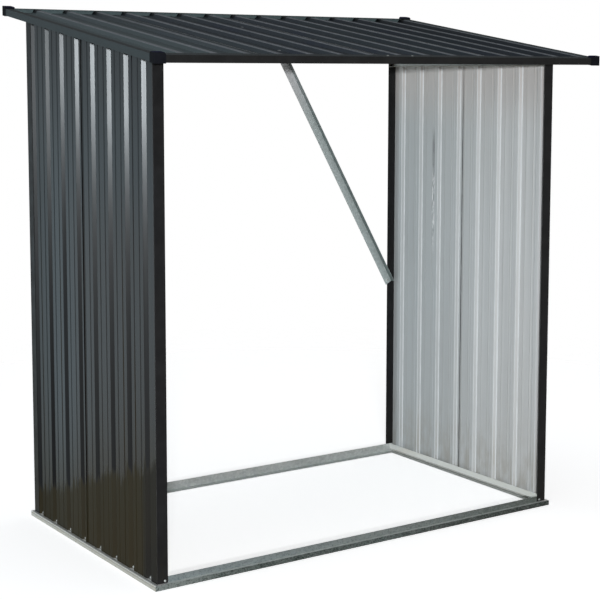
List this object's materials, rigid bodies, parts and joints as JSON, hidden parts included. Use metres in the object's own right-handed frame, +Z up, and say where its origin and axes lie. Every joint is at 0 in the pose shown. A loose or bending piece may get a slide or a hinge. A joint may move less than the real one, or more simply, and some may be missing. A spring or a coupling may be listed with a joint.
{
  "type": "log store",
  "caption": "Open-fronted metal log store with ribbed side walls, open back and a single-slope ribbed roof with a wide front overhang.",
  "frame": {"origin": "on the ground, at the centre of the outline's bounding box", "axes": "+X to the right along the open front, +Y to the rear (the roof rises that way), +Z up"},
  "size_m": [1.784, 1.102, 1.8243],
  "materials": {
    "wall_sheet": "painted ribbed steel sheet, dark grey outside, satin",
    "roof_sheet": "painted ribbed steel sheet, near-black grey, satin",
    "dark_frame": "black painted folded steel angle, satin",
    "dark_trim": "black-grey painted folded steel trim, satin",
    "galvanised_rail": "dull galvanised folded steel",
    "cap_plastic": "moulded blue-black plastic, fine matt"
  },
  "bodies": {
    "root": {"base_rail_front": "galvanised_rail", "base_rail_rear": "galvanised_rail", "base_rail_left": "galvanised_rail", "base_rail_right": "galvanised_rail", "front_left_post": "dark_frame", "front_right_post": "dark_frame", "rear_left_post": "dark_frame", "rear_right_post": "dark_frame", "front_header": "dark_frame", "rear_header": "galvanised_rail", "left_side_rail": "galvanised_rail", "right_side_rail": "galvanised_rail", "left_gable_rail": "galvanised_rail", "right_gable_rail": "galvanised_rail", "left_wall_front_panel": "wall_sheet", "left_wall_rear_panel": "wall_sheet", "right_wall_front_panel": "wall_sheet", "right_wall_rear_panel": "wall_sheet", "roof_sheet_1": "roof_sheet", "roof_sheet_2": "roof_sheet", "roof_sheet_3": "roof_sheet", "roof_sheet_4": "roof_sheet", "front_fascia": "dark_trim", "rear_roof_trim": "dark_trim", "left_verge_trim": "dark_trim", "right_verge_trim": "dark_trim", "front_left_corner_cap": "cap_plastic", "front_right_corner_cap": "cap_plastic", "rear_left_corner_cap": "cap_plastic", "rear_right_corner_cap": "cap_plastic", "left_rear_brace": "galvanised_rail", "right_rear_brace": "galvanised_rail"}
  },
  "joints": []
}
